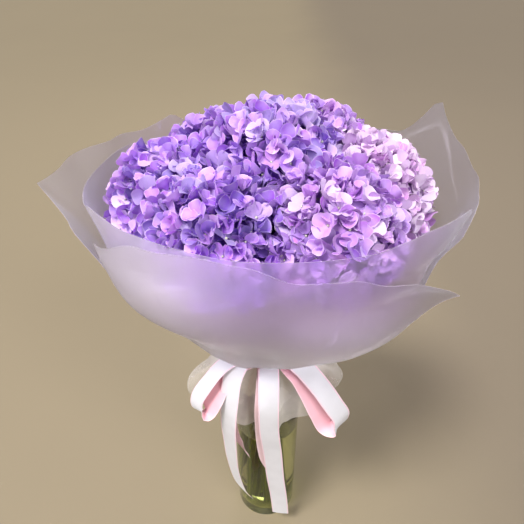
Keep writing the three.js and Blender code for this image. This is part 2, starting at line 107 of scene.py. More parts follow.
def faceOut(piece, holes=0):
    # fills the holes of up to so many sides and turns all faces outwards
    pick(piece)
    bpy.ops.object.mode_set(mode="EDIT")
    bpy.ops.mesh.select_all(action="SELECT")
    if holes:
        bpy.ops.mesh.fill_holes(sides=holes)
    bpy.ops.mesh.normals_make_consistent(inside=False)
    bpy.ops.object.mode_set(mode="OBJECT")


def smooth(piece, angle):
    # shades smooth, apart from edges sharper than the angle in degrees
    pick(piece)
    bpy.ops.object.shade_smooth_by_angle(angle=math.radians(angle))


def joined(pieces, name):
    deselectAll()
    for piece in pieces:
        piece.select_set(True)
    bpy.context.view_layer.objects.active = pieces[0]
    bpy.ops.object.join()
    return named(name)


def polar(radius, azimuth, height):
    turn = math.radians(azimuth)
    return np.array([radius * math.cos(turn), radius * math.sin(turn), height])


def between(pairs, place):
    # a value between listed (place, value) pairs, eased; only pairs with a third value are sharp corners
    if place <= pairs[0][0]:
        return pairs[0][1]
    for (start, low, *startSharp), (end, high, *endSharp) in zip(pairs, pairs[1:]):
        if place <= end:
            share = (place - start) / (end - start)
            eased = share * share * (3 - 2 * share)
            if startSharp:
                eased = share if endSharp else 1 - (1 - share) ** 2
            elif endSharp:
                eased = share ** 2
            return low + (high - low) * eased
    return pairs[-1][1]


def catmull(a, b, c, d, share):
    square = (2 * a - 5 * b + 4 * c - d) * share ** 2
    cube = (3 * b - a - 3 * c + d) * share ** 3
    return (2 * b + (c - a) * share + square + cube) / 2


def smoothLine(stations, count):
    # a centripetal spline through the stations, sampled evenly in its parameter, with its tangents
    points = np.array([station[:3] for station in stations], float)
    points = np.vstack([2 * points[0] - points[1], points, 2 * points[-1] - points[-2]])
    line = []
    for i in range(count + 1):
        along = i / count * (len(stations) - 1)
        k = min(int(along), len(stations) - 2)
        level = list(points[k:k + 4])
        gaps = [max(np.linalg.norm(level[j + 1] - level[j]), 1e-6) for j in range(3)]
        knots = np.cumsum([0] + [gap ** 0.5 for gap in gaps])
        t = knots[1] + (along - k) * (knots[2] - knots[1])
        for low, high in (((0, 1, 2), (1, 2, 3)), ((0, 1), (2, 3)), ((1,), (2,))):
            level = [
                (level[j] * (knots[b] - t) + level[j + 1] * (t - knots[a])) / (knots[b] - knots[a])
                for j, (a, b) in enumerate(zip(low, high))]
        line.append(level[0])
    line = np.array(line)
    tangents = np.gradient(line, axis=0)
    return line, tangents / np.linalg.norm(tangents, axis=1)[:, None]


def gridPiece(name, points, closed=False):
    # rows x columns of points made into one sheet with its own UV map
    rows, columns = points.shape[:2]
    mesh = bpy.data.meshes.new(name)
    span = columns if closed else columns - 1
    faces = [
        (r * columns + c, r * columns + (c + 1) % columns,
         (r + 1) * columns + (c + 1) % columns, (r + 1) * columns + c)
        for r in range(rows - 1) for c in range(span)
    ]
    mesh.from_pydata((points.reshape(-1, 3) * mm).tolist(), [], faces)
    layer = mesh.uv_layers.new(name="UVMap")
    uvs = []
    for r in range(rows - 1):
        for c in range(span):
            for dr, dc in ((0, 0), (0, 1), (1, 1), (1, 0)):
                uvs += [(c + dc) / span, (r + dr) / (rows - 1)]
    layer.data.foreach_set("uv", uvs)
    piece = bpy.data.objects.new(name, mesh)
    scene.collection.objects.link(piece)
    return piece


def giveMaterials(piece, *materials):
    for material in materials:
        piece.data.materials.append(material)


def areaOf(piece):
    return sum(face.area for face in piece.data.polygons)


def pointsOf(piece):
    # a mesh's points in millimetres
    points = np.empty(len(piece.data.vertices) * 3)
    piece.data.vertices.foreach_get("co", points)
    return points.reshape(-1, 3) / mm


def movePoints(piece, points):
    piece.data.vertices.foreach_set("co", (points * mm).ravel())


def srgb(red, green, blue):
    def straight(value):
        value /= 255
        return value / 12.92 if value < 0.04045 else ((value + 0.055) / 1.055) ** 2.4
    return (straight(red), straight(green), straight(blue), 1)


def dimmed(colour, share):
    return tuple(value * share for value in colour[:3]) + (1,)


class Link:
    # wraps a socket, so that an expression on it adds its Math nodes
    def __init__(self, maker, socket):
        self.maker = maker
        self.socket = socket

    def out(self, name):
        return Link(self.maker, self.socket.node.outputs[name])

    def sum(self, operation, other=None, flipped=False):
        pair = [self] if other is None else [other, self] if flipped else [self, other]
        return self.maker.node("Math", {"operation": operation}, dict(enumerate(pair)))

    def __add__(self, other): return self.sum("ADD", other)
    def __radd__(self, other): return self.sum("ADD", other, True)
    def __sub__(self, other): return self.sum("SUBTRACT", other)
    def __rsub__(self, other): return self.sum("SUBTRACT", other, True)
    def __mul__(self, other): return self.sum("MULTIPLY", other)
    def __rmul__(self, other): return self.sum("MULTIPLY", other, True)
    def __truediv__(self, other): return self.sum("DIVIDE", other)
    def __rtruediv__(self, other): return self.sum("DIVIDE", other, True)
    def __pow__(self, other): return self.sum("POWER", other)
    def __abs__(self): return self.sum("ABSOLUTE")


class MaterialMaker:
    def __init__(self, name):
        self.material = bpy.data.materials.new(name)
        self.material.use_nodes = True
        self.tree = self.material.node_tree
        self.tree.nodes.clear()

    def node(self, kind, settings=None, inputs=None, output=0):
        made = self.tree.nodes.new("ShaderNode" + kind)
        for key, value in (settings or {}).items():
            if key == "stops":
                ramp = made.color_ramp
                ramp.elements[0].position, ramp.elements[0].color = value[0]
                ramp.elements[-1].position, ramp.elements[-1].color = value[-1]
                for place, colour in value[1:-1]:
                    ramp.elements.new(place).color = colour
            else:
                setattr(made, key, value)
        for key, value in (inputs or {}).items():
            if isinstance(value, Link):
                self.tree.links.new(value.socket, made.inputs[key])
            else:
                made.inputs[key].default_value = value
        return Link(self, made.outputs[output])

    def mix(self, factor, first, second):
        settings = {"data_type": "RGBA", "clamp_factor": True}
        return self.node("Mix", settings, {0: factor, 6: first, 7: second}, 2)

    def ranged(self, value, low, high, toLow=0.0, toHigh=1.0):
        settings = {"interpolation_type": "SMOOTHSTEP", "clamp": True}
        return self.node("MapRange", settings, {0: value, 1: low, 2: high, 3: toLow, 4: toHigh})

    def noise(self, scale, detail=3.0, vector=None):
        vector = vector or self.node("TexCoord", output="Object")
        return self.node("TexNoise", None, {"Vector": vector, "Scale": scale, "Detail": detail}, "Fac")

    def uv(self):
        place = self.node("SeparateXYZ", None, {0: self.node("UVMap", {"uv_map": "UVMap"})})
        return place, place.out("Y")

    def reach(self, place):
        # how far a place is from the vase's axis
        level = self.node("VectorMath", {"operation": "MULTIPLY"}, {0: place, 1: (1, 1, 0)})
        return self.node("VectorMath", {"operation": "LENGTH"}, {0: level}, "Value")

    def bump(self, height, strength, distance):
        return self.node("Bump", None, {"Height": height, "Strength": strength, "Distance": distance})

    def letLight(self, surface, share, tone):
        # lamps shine on what is behind; what is seen through the surface isn't changed
        lampRay = self.node("LightPath", output="Is Shadow Ray")
        clear = self.node("BsdfTransparent", None, {"Color": tone})
        return self.node("MixShader", None, {0: lampRay * share, 1: surface, 2: clear})

    def finished(self, surface):
        end = self.tree.nodes.new("ShaderNodeOutputMaterial")
        self.tree.links.new(surface.socket, end.inputs["Surface"])
        return self.material


def sepalMaterial(name, look):
    # veined sepals: the tint attribute holds each floret's hue, its paleness and its painted shade, which
    # darkens florets deep in the head and in the valleys between heads
    make = MaterialMaker(name)
    stops = [(place, srgb(*colour)) for place, colour in zip(sepalTones["rampPlaces"], look["ramp"])]
    pale = srgb(*look["pale"])
    attribute = make.node("Attribute", {"attribute_name": "tint"}, None, "Color")
    tint = make.node("SeparateColor", None, {0: attribute})
    # depth, the blue channel, is how much painted shade a floret gets
    paleness, depth = tint.out("Green"), tint.out("Blue")
    across, along = make.uv()
    fan = (across - 0.5) / (along * 0.8 + 0.3)
    veins = make.ranged(abs((fan * 30).sum("SINE")), 0.0, 0.35, 1.0, 0.0)
    mottle = make.noise(120.0, 4.0)
    hue = tint + (mottle - 0.5) * 0.5
    colour = make.node("ValToRGB", {"stops": stops}, {0: hue})
    cloud = make.ranged(make.noise(45.0, 2.0), 0.42, 0.62)
    colour = make.mix(cloud * 0.4, colour, srgb(*look["cool"]))
    side = abs(across - 0.5) * 2
    # painted highlight: the middle of each sepal, towards its tip, is paled as if lit
    middle = make.ranged(along, 0.2, 0.65) * make.ranged(side, 0.2, 0.9, 1.0, 0.0)
    colour = make.mix(middle * 0.28, colour, pale)
    heart = make.ranged(along, 0.0, 0.4, 0.45, 0.0)
    colour = make.mix(heart * 0.8, colour, sepalTones["heart"])
    colour = make.mix(paleness, colour, pale)
    colour = make.mix(veins * 0.2, colour, stops[0][1])
    # the lighter rim is partly the sepals' own paler margin and partly a painted highlight along their
    # edges
    rim = make.ranged(side, 0.86, 0.97) + make.ranged(along, 0.9, 0.98)
    colour = make.mix(rim * 0.55, colour, sepalTones["rim"])
    # painted shade: florets deep in the head or near a valley between heads are turned towards a dark
    # violet
    colour = make.mix(depth * 0.9, colour, sepalTones["paintedShade"])
    height = veins * 0.6 + make.noise(700.0, 2.0) * 0.4
    inputs = {"Base Color": colour, "Roughness": make.ranged(mottle, 0.2, 0.8, 0.48, 0.64),
              "Normal": make.bump(height, 0.35, 0.0004), "Sheen Weight": 0.15, "Specular IOR Level": 0.35}
    petal = make.node("BsdfPrincipled", None, inputs)
    through = make.node("BsdfTranslucent", None, {"Color": look["glow"]})
    return make.finished(make.node("MixShader", None, {0: sepalTones["glowShare"], 1: petal, 2: through}))


def plainMaterial(name, colour, roughness, spread=0.12, scale=160.0, **extra):
    # a softly mottled matt surface
    make = MaterialMaker(name)
    mottle = make.noise(scale, 4.0)
    colour = make.mix(mottle, dimmed(colour, 1 - 2.5 * spread), colour)
    inputs = {"Base Color": colour, "Roughness": roughness, "Normal": make.bump(mottle, 0.2, 0.0005)}
    return make.finished(make.node("BsdfPrincipled", None, {**inputs, **extra}))


def stemMaterial():
    # green streaks along the stem, with brown specks
    make = MaterialMaker("stemGreen")
    across, along = make.uv()
    streaks = make.noise(1.0, 3.0, make.node("CombineXYZ", None, {0: across * 26, 1: along * 7}))
    specks = make.ranged(make.noise(900.0, 1.0), 0.66, 0.74)
    colour = make.mix(make.ranged(streaks, 0.3, 0.7), srgb(46, 54, 0), srgb(92, 98, 0))
    colour = make.mix(specks * 0.3, colour, srgb(112, 100, 36))
    inputs = {"Base Color": colour, "Roughness": 0.45, "Normal": make.bump(streaks, 0.3, 0.0004)}
    return make.finished(make.node("BsdfPrincipled", None, inputs))


def glassMaterial(name, colour, ior, shine=1.0):
    # shine is under 1 where water lies against glass, because little light is thrown back there
    make = MaterialMaker(name)
    smears = make.ranged(make.noise(14.0, 5.0), 0.35, 0.8, 0.0, 0.035)
    inputs = {"Base Color": colour, "Roughness": smears, "IOR": ior, "Transmission Weight": 1.0,
              "Specular Tint": (shine, shine, shine, 1)}
    surface = make.node("BsdfPrincipled", None, inputs)
    return make.finished(make.letLight(surface, 0.9, colour))


def filmMaterial(name, look):
    # film that scatters what is seen through it: greyer in its free corners, milkier where it is gathered
    # and at the left of the front, pinker beside the flowers with a painted glow, and with sharp creases
    # where it was crumpled
    make = MaterialMaker(name)
    place = make.node("TexCoord", output="Object")
    x = make.node("SeparateXYZ", None, {0: place})
    toLeft, toFront, height = x * -1, x.out("Y") * -1, x.out("Z")
    reach = make.reach(place)
    clouds = make.noise(9.0, 6.0)
    shift = make.node("TexNoise", None, {"Vector": place, "Scale": 7.0}, "Color")
    bent = make.node("VectorMath", {"operation": "MULTIPLY_ADD"}, {0: shift, 1: (0.09,) * 3, 2: place})
    cell = {"Vector": bent, "Scale": 8.0}
    fold = make.node("TexVoronoi", {"feature": "DISTANCE_TO_EDGE"}, cell, "Distance")
    creases = make.ranged(fold, 0.0, 0.035, 1.0, 0.0) * make.ranged(clouds, 0.45, 0.65)
    frontLeft = make.ranged(toLeft, 0.0, 0.13) * make.ranged(toFront, 0.01, 0.06)
    # painted glow: beside the flowers the film's tone turns pinker and its milk lilac, standing in for the
    # flowers' light scattered in the film
    flowerGlow = make.ranged(height, 0.43, 0.54) * make.ranged(reach, 0.15, 0.185, 1.0, 0.0)
    flowerGlow = flowerGlow * (1 - frontLeft * 0.8)
    tone = make.mix(make.ranged(reach, 0.14, 0.175), look["low"], look["high"])
    tone = make.mix(flowerGlow * 0.8, tone, look["blush"])
    wrinkle = make.bump(clouds + make.noise(60.0, 2.0) * 0.08 + creases * 0.35, 0.14, 0.004)
    clear = make.node("BsdfPrincipled", None, {
        "Base Color": tone, "Roughness": make.ranged(clouds, 0.3, 0.7, 0.42, 0.52), "Normal": wrinkle,
        "Transmission Weight": look["through"], "IOR": look["ior"], "Specular IOR Level": 0.5})
    milk = make.mix(flowerGlow * 0.6, look["milk"], look["paintedGlowMilk"])
    milky = make.node("BsdfPrincipled", None, {"Base Color": milk, "Roughness": 0.55, "Normal": wrinkle})
    leftMilk = make.ranged(toLeft, 0.09, 0.14, 0.0, 0.03) + frontLeft * 0.2
    share = make.ranged(reach, 0.145, 0.175, 0.05, 0.0) + creases * 0.18 + leftMilk
    surface = make.node("MixShader", None, {0: share, 1: clear, 2: milky})
    return make.finished(make.letLight(surface, 0.85, look["low"]))


def clearMaterial(name, colour, low, high):
    # thin clear film: nearly nothing face on, milky where it is creased or turned away
    make = MaterialMaker(name)
    creases = make.noise(16.0, 5.0)
    facing = make.node("LayerWeight", None, {"Blend": 0.5}, "Facing")
    inside = make.ranged(make.reach(make.node("TexCoord", output="Object")), 0.06, 0.082, 1.0, 0.42)
    inputs = {
        "Base Color": make.mix(creases, dimmed(colour, 0.9), colour),
        "Roughness": make.ranged(creases, 0.3, 0.7, 0.14, 0.3),
        "Alpha": make.ranged(creases, 0.3, 0.72, low, high) * inside + facing ** 2.5 * 0.4,
        "Normal": make.bump(creases, 0.35, 0.004), "Specular IOR Level": 0.7,
    }
    return make.finished(make.node("BsdfPrincipled", None, inputs))


def satinMaterial(name, ground, edge, lineAt, sheen):
    # satin ribbon: fine weft across it, and a line of another colour along each edge
    make = MaterialMaker(name)
    across, along = make.uv()
    side = abs(across - 0.5) * 2
    line = make.ranged(side, lineAt, lineAt + 0.03) * make.ranged(side, 0.95, 0.99, 1.0, 0.0)
    weft = (along * 2600).sum("SINE")
    slub = make.noise(45.0, 3.0)
    colour = make.mix(make.ranged(slub, 0.3, 0.7), dimmed(ground, 0.94), ground)
    colour = make.mix(line, colour, edge)
    inputs = {"Base Color": colour, "Roughness": make.ranged(slub, 0.3, 0.7, 0.42, 0.52),
              "Normal": make.bump(weft * 0.2 + slub, 0.25, 0.0003), "Sheen Weight": sheen,
              "Specular IOR Level": 0.3}
    return make.finished(make.node("BsdfPrincipled", None, inputs))


def floorMaterial():
    # matt paint, with painted shade: browner and darker towards the right, where less of the room's light
    # falls
    make = MaterialMaker("floorPaintAndShade")
    clouds = make.noise(3.0, 4.0)
    place = make.node("SeparateXYZ", None, {0: make.node("TexCoord", output="Object")})
    # painted shade: the floor darkens towards the right
    shade = make.ranged(place + clouds * 0.2, 0.2, 0.62)
    colour = make.mix(shade, srgb(127, 115, 92), srgb(110, 99, 83))
    inputs = {"Base Color": make.mix(clouds * 0.3, colour, srgb(118, 107, 87)), "Roughness": 0.75,
              "Normal": make.bump(make.noise(90.0, 3.0), 0.15, 0.0005)}
    return make.finished(make.node("BsdfPrincipled", None, inputs))


# rim is partly the sepals' own paler margin and partly a painted highlight
sepalTones = {"rampPlaces": (0.0, 0.3, 0.7, 1.0), "heart": srgb(226, 214, 238), "rim": srgb(250, 228, 250),
              # deep is the dark violet of the painted shade inside the heads and between them
              "paintedShade": srgb(72, 16, 156), "glowShare": 0.16}
petalLook = {
    "petalViolet": {
        "ramp": ((80, 20, 164), (164, 70, 226), (226, 150, 250), (246, 206, 254)),
        "cool": (190, 146, 246), "pale": (226, 210, 248), "glow": (0.45, 0.16, 0.85, 1)},
    "petalLavender": {
        "ramp": ((98, 34, 178), (184, 96, 232), (234, 168, 250), (249, 214, 254)),
        "cool": (190, 146, 246), "pale": (228, 218, 248), "glow": (0.52, 0.24, 0.86, 1)},
    "petalLilac": {
        "ramp": ((142, 60, 190), (206, 126, 234), (242, 182, 250), (255, 222, 254)),
        "cool": (212, 184, 246), "pale": (234, 214, 242), "glow": (0.62, 0.30, 0.86, 1)},
    "petalBlush": {
        "ramp": ((190, 112, 204), (236, 172, 238), (253, 214, 250), (255, 238, 254)),
        "cool": (226, 206, 240), "pale": (242, 226, 240), "glow": (0.72, 0.45, 0.82, 1)},
}
petals = {name: sepalMaterial(name, look) for name, look in petalLook.items()}
budCream = plainMaterial("budCream", srgb(214, 218, 190), 0.5, 0.1, 500.0)
coreShade = plainMaterial("coreShade", srgb(84, 38, 152), 0.8, 0.2)
stemGreen = stemMaterial()
glassTone = (0.88, 0.91, 0.82, 1)
vaseGlass = glassMaterial("vaseGlass", glassTone, 1.45)
vaseGlassWet = glassMaterial("vaseGlassWet", glassTone, 1.45, 0.1)
vaseWater = glassMaterial("vaseWater", (0.79, 0.80, 0.50, 1), 1.33, 0.25)
# the pinker tones are a painted glow, the flowers' light scattered in the film
filmLook = {"low": (0.93, 0.92, 0.955, 1), "high": (0.74, 0.725, 0.82, 1), "blush": (0.885, 0.79, 0.98, 1),
            "milk": srgb(206, 201, 203), "paintedGlowMilk": srgb(206, 176, 230), "through": 0.965, "ior": 1.25}
frostedFilm = filmMaterial("frostedFilm", filmLook)
# the film's cut edges are pinkish white, a painted highlight
filmEdgeHighlight = plainMaterial("filmEdgeHighlight", srgb(214, 200, 216), 0.4, 0.03, Alpha=0.5)
clearFilm = clearMaterial("clearFilm", (0.80, 0.765, 0.715, 1), 0.48, 0.82)
ribbonFace = satinMaterial("ribbonFace", srgb(210, 209, 213), srgb(234, 192, 204), 0.87, 0.15)
ribbonBack = satinMaterial("ribbonBack", srgb(233, 180, 190), srgb(240, 208, 214), 0.9, 0.1)
ribbonBlush = satinMaterial("ribbonBlush", srgb(238, 204, 210), srgb(242, 220, 224), 0.9, 0.25)
floorPaintAndShade = floorMaterial()
print("materials ready")


# the camera stands where the photograph's did
view = {"place": (-0.007, -0.4526, 0.8506), "down": 38.4, "lens": 35.73, "sensor": 36}
bpy.ops.object.camera_add(location=view["place"], rotation=(math.radians(90 - view["down"]), 0, 0))
camera = named("camera")
camera.data.lens = view["lens"]
camera.data.sensor_width = view["sensor"]
scene.camera = camera
scene.view_settings.view_transform = "Standard"

floorSize = {"span": 20, "height": -0.0005}
bpy.ops.mesh.primitive_plane_add(size=floorSize["span"], location=(0, 0, floorSize["height"]))
floor = named("floor")
applyPlace(floor)
giveMaterials(floor, floorPaintAndShade)

# each lamp's kind, place, power, angle or size, and colour; all of them point at the middle of the bunch
studio = {
    "key": ("SUN", (-0.6, -0.6, 2.1), 3.95, math.radians(15), (1.0, 0.985, 0.975)),
    "fill": ("AREA", (-1.6, -0.5, 1.6), 15, 1.4, (0.97, 0.93, 1.0)),
    "low": ("SUN", (0.75, -0.95, 1.3), 2.0, math.radians(32), (1.0, 0.98, 1.0)),
    "back": ("AREA", (0.2, 1.4, 1.6), 12, 1.0, (1.0, 0.97, 1.0)),
}
aim = Vector((0, 0, 0.45))
air = {"colour": (0.95, 0.95, 1.0, 1), "power": 0.3}
for name, (kind, place, power, size, colour) in studio.items():
    bpy.ops.object.light_add(type=kind, location=place)
    lamp = named(name)
    lamp.data.energy = power
    lamp.data.color = colour
    if kind == "SUN":
        lamp.data.angle = size
    else:
        lamp.data.shape = "DISK"
        lamp.data.size = size
    lamp.rotation_euler = (aim - Vector(place)).to_track_quat("-Z", "Y").to_euler()
world = bpy.data.worlds.new("studioAir")
scene.world = world
world.use_nodes = True
world.node_tree.nodes["Background"].inputs[0].default_value = air["colour"]
world.node_tree.nodes["Background"].inputs[1].default_value = air["power"]
print("camera, floor and light ready")


# sizes and places are in millimetres from here on
vaseSize = {"radius": 45, "height": 300, "wall": 3, "floor": 20, "footRound": 5, "floorRound": 7,
            "water": 207, "wets": 0.15}


def turned(name, profile, sides=96):
    # a disc, extruded and resized ring by ring along the profile of (radius, height)
    deselectAll()
    radius, height = profile[0]
    bpy.ops.mesh.primitive_circle_add(vertices=sides, radius=radius * mm, fill_type="NGON",
                                      location=(0, 0, height * mm))
    piece = named(name)
    applyPlace(piece)
    bpy.ops.object.mode_set(mode="EDIT")
    bpy.ops.mesh.select_all(action="SELECT")
    for nextRadius, nextHeight in profile[1:]:
        step = {"value": (0, 0, (nextHeight - height) * mm)}
        bpy.ops.mesh.extrude_region_move(TRANSFORM_OT_translate=step)
        scale = nextRadius / radius
        bpy.ops.transform.resize(value=(scale, scale, 1), center_override=(0, 0, nextHeight * mm))
        radius, height = nextRadius, nextHeight
    bpy.ops.mesh.select_all(action="SELECT")
    bpy.ops.mesh.normals_make_consistent(inside=False)
    bpy.ops.object.mode_set(mode="OBJECT")
    smooth(piece, 40)
    return piece


def arc(centreRadius, centreHeight, radius, start, end, steps):
    turns = [math.radians(start + (end - start) * i / steps) for i in range(steps + 1)]
    return [(centreRadius + radius * math.cos(t), centreHeight + radius * math.sin(t)) for t in turns]


def vasePiece(size):
    # up the outside, over the rim and down the inside; the glass that the water wets has its own material
    radius, height, wall = size["radius"], size["height"], size["wall"]
    foot, bowl, inner = size["footRound"], size["floorRound"], size["radius"] - size["wall"]
    profile = [(radius - foot - 1, 0)]
    profile += arc(radius - foot, foot, foot, -90, 0, 6)
    profile += [(radius, height * share) for share in (0.25, 0.5, 0.75)]
    profile += arc(radius - wall / 2, height - wall / 2, wall / 2, 0, 180, 8)
    profile += [(inner, level) for level in (0.75 * height, size["water"], 0.5 * height, 0.25 * height)]
    profile += arc(inner - bowl, size["floor"] + bowl, bowl, 0, -90, 6)
    piece = turned("vase_glass", profile)
    giveMaterials(piece, vaseGlass, vaseGlassWet)
    for face in piece.data.polygons:
        middle = face.center / mm
        inside = math.hypot(middle.x, middle.y) < inner + 0.1 and middle.z > size["floor"] - 1
        face.material_index = int(inside and middle.z < size["water"])
    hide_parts("vase")


def waterPiece(size):
    # the water wets the glass, with no air between them, and climbs it a little at its edge
    overlap, bowl, level = size["wets"], size["floorRound"], size["water"]
    wet = size["radius"] - size["wall"] + overlap
    profile = [(wet - bowl, size["floor"] - overlap)]
    profile += arc(wet - bowl, size["floor"] + bowl - overlap, bowl, -80, 0, 6)
    profile += [(wet, level * 0.5), (wet, level + 1.2), (wet - 0.8, level + 0.3), (wet - 2.5, level)]
    piece = turned("vase_water", profile)
    giveMaterials(piece, vaseWater)
    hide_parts("water")


vasePiece(vaseSize)
waterPiece(vaseSize)
print("vase and water ready")


# the wrap flares out of the tie, and its four sheets lie on one form
filmSize = {"thickness": 0.3, "pitch": 1.3, "spread": 2.2, "neckRadius": 14.4, "neckTop": 379,
            "neckBottom": 356, "leansFrom": 0.3}
# for each azimuth the (radius, height) of six places up the wrap, to its rim
wrapColumns = {
    -90: [[60, 393], [88, 445], [113, 496], [125, 540], [132, 572], [137, 599]],
    -45: [[69, 396], [113, 433], [137, 478], [140, 531], [149, 562], [154, 596]],
    0: [[84, 390], [138, 414], [163, 467], [177, 525], [193, 560], [206, 596]],
    45: [[72, 396], [118, 432], [146, 482], [160, 526], [168, 566], [174, 600]],
    90: [[58, 404], [100, 446], [130, 492], [144, 530], [150, 562], [154, 590]],
    135: [[64, 400], [108, 438], [138, 486], [152, 530], [162, 572], [170, 610]],
    180: [[74, 396], [118, 434], [154, 479], [167, 526], [176, 562], [184, 592]],
    225: [[70, 396], [97, 445], [129, 492], [141, 529], [142, 562], [145, 593]],
}
wrapGrid = {"first": -90, "step": 45, "rows": 6, "top": 1.3}
tieRow = [[filmSize["neckRadius"], filmSize["neckTop"]]]
wrapTable = np.array([tieRow + points for points in wrapColumns.values()], float)
belowTie = 2 * wrapTable[:, :1] - wrapTable[:, 1:2]
aboveRim = 2 * wrapTable[:, -1:] - wrapTable[:, -2:-1]
wrapTable = np.concatenate([belowTie, wrapTable, aboveRim], axis=1)


def wrapProfile(azimuth, share):
    # (radius, height) on the form; share goes from 0 at the tie to 1 at the rim, and a little past it
    place = ((azimuth - wrapGrid["first"]) % 360) / wrapGrid["step"]
    at = int(place)
    along = min(max(share, 0), wrapGrid["top"]) * wrapGrid["rows"]
    row = min(int(along), wrapGrid["rows"] - 1)
    columns = []
    for k in (-1, 0, 1, 2):
        p = wrapTable[(at + k) % len(wrapTable)]
        columns.append(catmull(p[row], p[row + 1], p[row + 2], p[row + 3], along - row))
    return catmull(*columns, place - at)


def wrapPoint(azimuth, share):
    radius, height = wrapProfile(azimuth, share)
    return polar(radius, azimuth, height)


def wrapNormal(azimuth, share, step=0.02, turn=2):
    # outwards from the form, from short steps up it and round it
    low = max(share - step, 0)
    up = wrapPoint(azimuth, low + 2 * step) - wrapPoint(azimuth, low)
    across = np.cross(wrapPoint(azimuth + turn, share) - wrapPoint(azimuth - turn, share), up)
    return across / np.linalg.norm(across)


# by azimuth, rim is how far up the form a sheet reaches and standOff how far it leans out of it, and a
# third value marks a sharp corner; cut is the flat sheet, in metres
sheets = {
    "film_front_inner": {
        "layer": 0, "from": 126, "to": 356, "cut": (0.44, 0.30),
        "rim": [[126, 0.86], [160, 0.96], [186, 0.98], [200, 1.045], [216, 1.01], [240, 1.02], [262, 1.01],
                [306, 0.99], [316, 1.01], [326, 1.035], [338, 1.055, 1], [356, 0.86, 1]],
        "standOff": [[126, 0], [356, 0]]},
    "film_back_right": {
        "layer": 1, "from": -14, "to": 98, "cut": (0.30, 0.27),
        "rim": [[-14, 0.84], [-4, 0.95], [4, 1.0], [14, 1.06], [27, 1.19, 1], [38, 0.98], [50, 0.96],
                [98, 0.94]],
        "standOff": [[-14, 4], [0, 2], [12, -2], [22, 3], [98, 0]]},
    "film_back_left": {
        "layer": 2, "from": 84, "to": 196, "cut": (0.30, 0.25),
        "rim": [[84, 0.94], [120, 0.95], [131, 1.01, 1], [144, 0.98], [156, 1.02], [166, 1.04],
                [180, 1.01, 1], [188, 0.83], [196, 0.66]],
        "standOff": [[84, 2], [128, -6], [158, -4], [172, 19], [180, 38, 1], [188, 18], [196, 4]]},
    "film_front_outer": {
        "layer": 3, "from": 198, "to": 334, "cut": (0.29, 0.26),
        "rim": [[198, 0.84], [222, 0.99], [250, 1.04], [262, 1.03], [280, 0.915], [296, 0.915], [310, 0.86],
                [334, 0.66, 1]],
        "standOff": [[198, 0], [212, -2], [240, -4], [281, 0], [300, 2], [318, 10], [334, 33, 1]]},
}
# each wave's height, how many go round, and its start
pleats = {"broad": (1.3, 9, 0.7), "fine": (0.8, 16, 2.1), "gather": 1.4, "fade": 5, "start": 12,
          "sway": 1.1, "swayCount": 5, "swayTwist": 4}


def pleat(azimuth, along):
    # gathers that fan out of the tie, the same in every layer so that the layers nest
    turn = math.radians(azimuth)
    near = math.exp(-pleats["fade"] * along) * min(1, along * pleats["start"])
    waves = (pleats["broad"], pleats["fine"])
    wide = sum(height * math.sin(count * turn + start) for height, count, start in waves)
    sway = pleats["sway"] * along * math.sin(pleats["swayCount"] * turn + pleats["swayTwist"] * along)
    return wide * near * pleats["gather"] + sway


def filmPlace(sheet, azimuth, along):
    # a place on a sheet, along going from 0 at the tie to 1 at its own rim
    reach = between(sheet["rim"], azimuth)
    share = along if along < 0.5 else 0.5 + (reach - 0.5) * (2 * along - 1)
    offset = sheet["layer"] * (filmSize["pitch"] + filmSize["spread"] * min(1, 2 * along))
    leans = max(0, (along - filmSize["leansFrom"]) / (1 - filmSize["leansFrom"])) ** 2
    place = wrapPoint(azimuth, share) + wrapNormal(azimuth, share) * (offset + pleat(azimuth, along))
    return place + polar(between(sheet["standOff"], azimuth) * leans, azimuth, 0)


def filmPiece(name, sheet, rows=46, step=2.0):
    # two rings at the tie, then rows up to the rim
    count = int(round((sheet["to"] - sheet["from"]) / step))
    azimuths = [sheet["from"] + (sheet["to"] - sheet["from"]) * c / count for c in range(count + 1)]
    neck = filmSize["neckRadius"] + sheet["layer"] * filmSize["pitch"]
    points = [[polar(neck, azimuth, filmSize["neckBottom"]) for azimuth in azimuths],
              [polar(neck, azimuth, filmSize["neckTop"]) for azimuth in azimuths]]
    points += [[filmPlace(sheet, azimuth, r / rows) for azimuth in azimuths] for r in range(1, rows + 1)]
    piece = gridPiece(name + "_sheet", np.array(points))
    print(name, "flat area", round(areaOf(piece), 4))
    giveMaterials(piece, frostedFilm, filmEdgeHighlight)
    applyModifier(piece, "SOLIDIFY", thickness=filmSize["thickness"] * mm, offset=1, material_offset_rim=1)
    smooth(piece, 60)
    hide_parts(name)


for name, sheet in sheets.items():
    filmPiece(name, sheet)


# the clear film under the tie flares over the vase's mouth; reach and hem go by azimuth
collar = {
    "radius": 13.2, "ruffles": 8, "depth": 6, "fineRuffles": 19, "fineDepth": 1.6, "belowTie": 2,
    "reach": [[0, 88], [30, 58], [90, 60], [150, 62], [176, 84], [196, 106],
              [216, 74], [240, 58], [300, 58], [326, 72], [346, 106], [360, 88]],
    "hem": [[0, 316], [30, 290], [90, 276], [150, 286], [176, 306], [196, 300],
            [216, 276], [240, 262], [300, 262], [326, 290], [346, 322], [360, 316]],
}


def collarPlace(azimuth, share):
    # a place on the collar, share going from 0 under the tie to 1 at its hem
    reach = between(collar["reach"], azimuth) - collar["radius"]
    ruffle = collar["depth"] * share * math.sin(math.radians(collar["ruffles"] * azimuth + 40))
    fine = math.sin(math.radians(collar["fineRuffles"] * azimuth) + 3 * share)
    ruffle += collar["fineDepth"] * share * fine
    radius = collar["radius"] + reach * math.sin(share * math.pi / 2) ** 0.9 + ruffle
    drop = filmSize["neckBottom"] - between(collar["hem"], azimuth)
    return polar(radius, azimuth, filmSize["neckBottom"] - drop * share ** 1.7)


